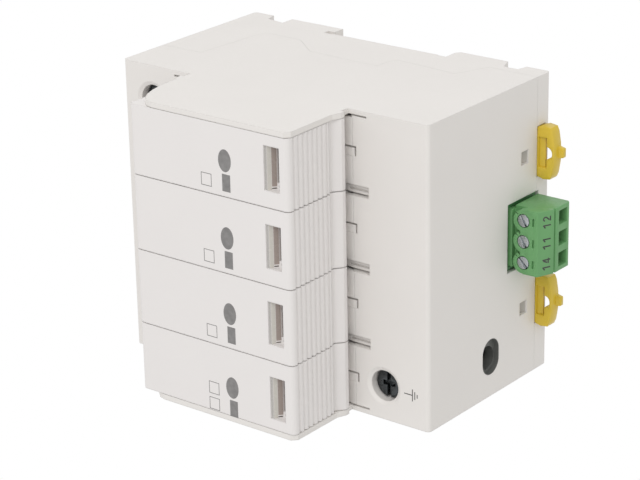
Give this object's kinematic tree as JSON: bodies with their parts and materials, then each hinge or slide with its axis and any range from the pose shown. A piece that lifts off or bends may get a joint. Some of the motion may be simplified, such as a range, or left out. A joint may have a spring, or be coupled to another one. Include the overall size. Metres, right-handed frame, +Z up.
{
  "type": "din rail surge arrester",
  "caption": "Plug-in surge arrester for a top-hat rail: fixed base with draw-out cartridges, screw terminals, rail clips and a pluggable signal connector.",
  "frame": {"origin": "middle of the rail's front face, where the base seats", "axes": "+X to the right, +Y back towards the wall, +Z up, as it hangs on the rail"},
  "size_m": [0.072, 0.0697, 0.0964],
  "materials": {
    "base_housing": "fine satin moulded polycarbonate",
    "cartridge_casing": "fine satin moulded polycarbonate",
    "inner_carrier": "moulded",
    "contact_brass": "stamped",
    "contact_copper": "stamped copper alloy",
    "zinc_steel": "zinc plated",
    "tinned_pin": "tin plated",
    "header_green": "moulded",
    "plug_green": "moulded",
    "clip_yellow": "moulded",
    "switch_black": "moulded",
    "indicator_white": "moulded",
    "indicator_red": "moulded",
    "discharge_tube": "nickel plated, ceramic ring",
    "varistor_blue": "epoxy coated"
  },
  "bodies": {
    "base": {"front_housing": "base_housing", "rear_housing": "base_housing", "neutral_bus": "contact_copper", "earth_bar": "contact_copper", "line_contact_l1": "contact_copper", "line_contact_l2": "contact_copper", "line_contact_l3": "contact_copper", "signal_header": "header_green", "header_pins": "tinned_pin", "signal_switch": "switch_black"},
    "signal_bar": {"signal_bar": "inner_carrier"},
    "rail_clip_left": {"rail_clip_left": "clip_yellow"},
    "rail_clip_right": {"rail_clip_right": "clip_yellow"},
    "terminal_screw_n": {"terminal_screw_n": "zinc_steel"},
    "terminal_cage_n": {"terminal_cage_n": "zinc_steel"},
    "terminal_screw_l1": {"terminal_screw_l1": "zinc_steel"},
    "terminal_cage_l1": {"terminal_cage_l1": "zinc_steel"},
    "terminal_screw_l2": {"terminal_screw_l2": "zinc_steel"},
    "terminal_cage_l2": {"terminal_cage_l2": "zinc_steel"},
    "terminal_screw_l3": {"terminal_screw_l3": "zinc_steel"},
    "terminal_cage_l3": {"terminal_cage_l3": "zinc_steel"},
    "terminal_screw_earth": {"terminal_screw_earth": "zinc_steel"},
    "terminal_cage_earth": {"terminal_cage_earth": "zinc_steel"},
    "plug": {"plug_housing": "plug_green"},
    "plug_screw_left": {"plug_screw_left": "zinc_steel"},
    "plug_clamp_left": {"plug_clamp_left": "zinc_steel"},
    "plug_screw_middle": {"plug_screw_middle": "zinc_steel"},
    "plug_clamp_middle": {"plug_clamp_middle": "zinc_steel"},
    "plug_screw_right": {"plug_screw_right": "zinc_steel"},
    "plug_clamp_right": {"plug_clamp_right": "zinc_steel"},
    "cartridge_n": {"casing_n": "cartridge_casing", "carrier_n": "inner_carrier", "blades_n": "contact_brass", "limiter_n": "discharge_tube", "fault_plate_n": "indicator_red"},
    "shutter_n": {"shutter_n": "indicator_white"},
    "cartridge_l1": {"casing_l1": "cartridge_casing", "carrier_l1": "inner_carrier", "blades_l1": "contact_brass", "limiter_l1": "varistor_blue", "fault_plate_l1": "indicator_red"},
    "shutter_l1": {"shutter_l1": "indicator_white"},
    "cartridge_l2": {"casing_l2": "cartridge_casing", "carrier_l2": "inner_carrier", "blades_l2": "contact_brass", "limiter_l2": "varistor_blue", "fault_plate_l2": "indicator_red"},
    "shutter_l2": {"shutter_l2": "indicator_white"},
    "cartridge_l3": {"casing_l3": "cartridge_casing", "carrier_l3": "inner_carrier", "blades_l3": "contact_brass", "limiter_l3": "varistor_blue", "fault_plate_l3": "indicator_red"},
    "shutter_l3": {"shutter_l3": "indicator_white"}
  },
  "joints": [
    {"name": "signal_bar_push", "type": "slide", "parent": "base", "child": "signal_bar", "axis": [0, 1, 0], "range_m": [0, 0.001], "stiffness_N_per_m": 150},
    {"name": "clip_left", "type": "slide", "parent": "base", "child": "rail_clip_left", "axis": [0, 0, -1], "range_m": [0, 0.005]},
    {"name": "clip_right", "type": "slide", "parent": "base", "child": "rail_clip_right", "axis": [0, 0, -1], "range_m": [0, 0.005]},
    {"name": "screw_n", "type": "hinge", "parent": "base", "child": "terminal_screw_n", "pos_m": [-0.0266, -0.042, 0.0345], "axis": [0, 1, 0], "range_deg": [0, 1800.1]},
    {"name": "cage_n", "type": "slide", "parent": "base", "child": "terminal_cage_n", "axis": [0, -1, 0], "range_m": [0, 0.004]},
    {"name": "screw_l1", "type": "hinge", "parent": "base", "child": "terminal_screw_l1", "pos_m": [-0.0086, -0.042, 0.0345], "axis": [0, 1, 0], "range_deg": [0, 1800.1]},
    {"name": "cage_l1", "type": "slide", "parent": "base", "child": "terminal_cage_l1", "axis": [0, -1, 0], "range_m": [0, 0.004]},
    {"name": "screw_l2", "type": "hinge", "parent": "base", "child": "terminal_screw_l2", "pos_m": [0.0094, -0.042, 0.0345], "axis": [0, 1, 0], "range_deg": [0, 1800.1]},
    {"name": "cage_l2", "type": "slide", "parent": "base", "child": "terminal_cage_l2", "axis": [0, -1, 0], "range_m": [0, 0.004]},
    {"name": "screw_l3", "type": "hinge", "parent": "base", "child": "terminal_screw_l3", "pos_m": [0.0274, -0.042, 0.0345], "axis": [0, 1, 0], "range_deg": [0, 1800.1]},
    {"name": "cage_l3", "type": "slide", "parent": "base", "child": "terminal_cage_l3", "axis": [0, -1, 0], "range_m": [0, 0.004]},
    {"name": "screw_earth", "type": "hinge", "parent": "base", "child": "terminal_screw_earth", "pos_m": [-0.0279, -0.042, -0.0315], "axis": [0, 1, 0], "range_deg": [0, 1800.1]},
    {"name": "cage_earth", "type": "slide", "parent": "base", "child": "terminal_cage_earth", "axis": [0, -1, 0], "range_m": [0, 0.004]},
    {"name": "plug_pull", "type": "slide", "parent": "base", "child": "plug", "axis": [0, 0, -1], "range_m": [0, 0.012]},
    {"name": "plug_screw_turn_left", "type": "hinge", "parent": "plug", "child": "plug_screw_left", "pos_m": [-0.00468, -0.012, -0.0476], "axis": [0, 1, 0], "range_deg": [0, 960.1]},
    {"name": "plug_clamp_slide_left", "type": "slide", "parent": "plug", "child": "plug_clamp_left", "axis": [0, -1, 0], "range_m": [0, 0.0012]},
    {"name": "plug_screw_turn_middle", "type": "hinge", "parent": "plug", "child": "plug_screw_middle", "pos_m": [0.0004, -0.012, -0.0476], "axis": [0, 1, 0], "range_deg": [0, 960.1]},
    {"name": "plug_clamp_slide_middle", "type": "slide", "parent": "plug", "child": "plug_clamp_middle", "axis": [0, -1, 0], "range_m": [0, 0.0012]},
    {"name": "plug_screw_turn_right", "type": "hinge", "parent": "plug", "child": "plug_screw_right", "pos_m": [0.00548, -0.012, -0.0476], "axis": [0, 1, 0], "range_deg": [0, 960.1]},
    {"name": "plug_clamp_slide_right", "type": "slide", "parent": "plug", "child": "plug_clamp_right", "axis": [0, -1, 0], "range_m": [0, 0.0012]},
    {"name": "draw_out_n", "type": "slide", "parent": "base", "child": "cartridge_n", "axis": [0, -1, 0], "range_m": [0, 0.05]},
    {"name": "shutter_rise_n", "type": "slide", "parent": "cartridge_n", "child": "shutter_n", "axis": [0, 0, 1], "range_m": [0, 0.0028]},
    {"name": "draw_out_l1", "type": "slide", "parent": "base", "child": "cartridge_l1", "axis": [0, -1, 0], "range_m": [0, 0.05]},
    {"name": "shutter_rise_l1", "type": "slide", "parent": "cartridge_l1", "child": "shutter_l1", "axis": [0, 0, 1], "range_m": [0, 0.0028]},
    {"name": "draw_out_l2", "type": "slide", "parent": "base", "child": "cartridge_l2", "axis": [0, -1, 0], "range_m": [0, 0.05]},
    {"name": "shutter_rise_l2", "type": "slide", "parent": "cartridge_l2", "child": "shutter_l2", "axis": [0, 0, 1], "range_m": [0, 0.0028]},
    {"name": "draw_out_l3", "type": "slide", "parent": "base", "child": "cartridge_l3", "axis": [0, -1, 0], "range_m": [0, 0.05]},
    {"name": "shutter_rise_l3", "type": "slide", "parent": "cartridge_l3", "child": "shutter_l3", "axis": [0, 0, 1], "range_m": [0, 0.0028]}
  ],
  "couplings": [
    {"joint": "screw_n", "follows": "cage_n", "rad_per_m": 7854},
    {"joint": "screw_l1", "follows": "cage_l1", "rad_per_m": 7854},
    {"joint": "screw_l2", "follows": "cage_l2", "rad_per_m": 7854},
    {"joint": "screw_l3", "follows": "cage_l3", "rad_per_m": 7854},
    {"joint": "screw_earth", "follows": "cage_earth", "rad_per_m": 7854},
    {"joint": "plug_screw_turn_left", "follows": "plug_clamp_slide_left", "rad_per_m": 13963},
    {"joint": "plug_screw_turn_middle", "follows": "plug_clamp_slide_middle", "rad_per_m": 13963},
    {"joint": "plug_screw_turn_right", "follows": "plug_clamp_slide_right", "rad_per_m": 13963}
  ]
}
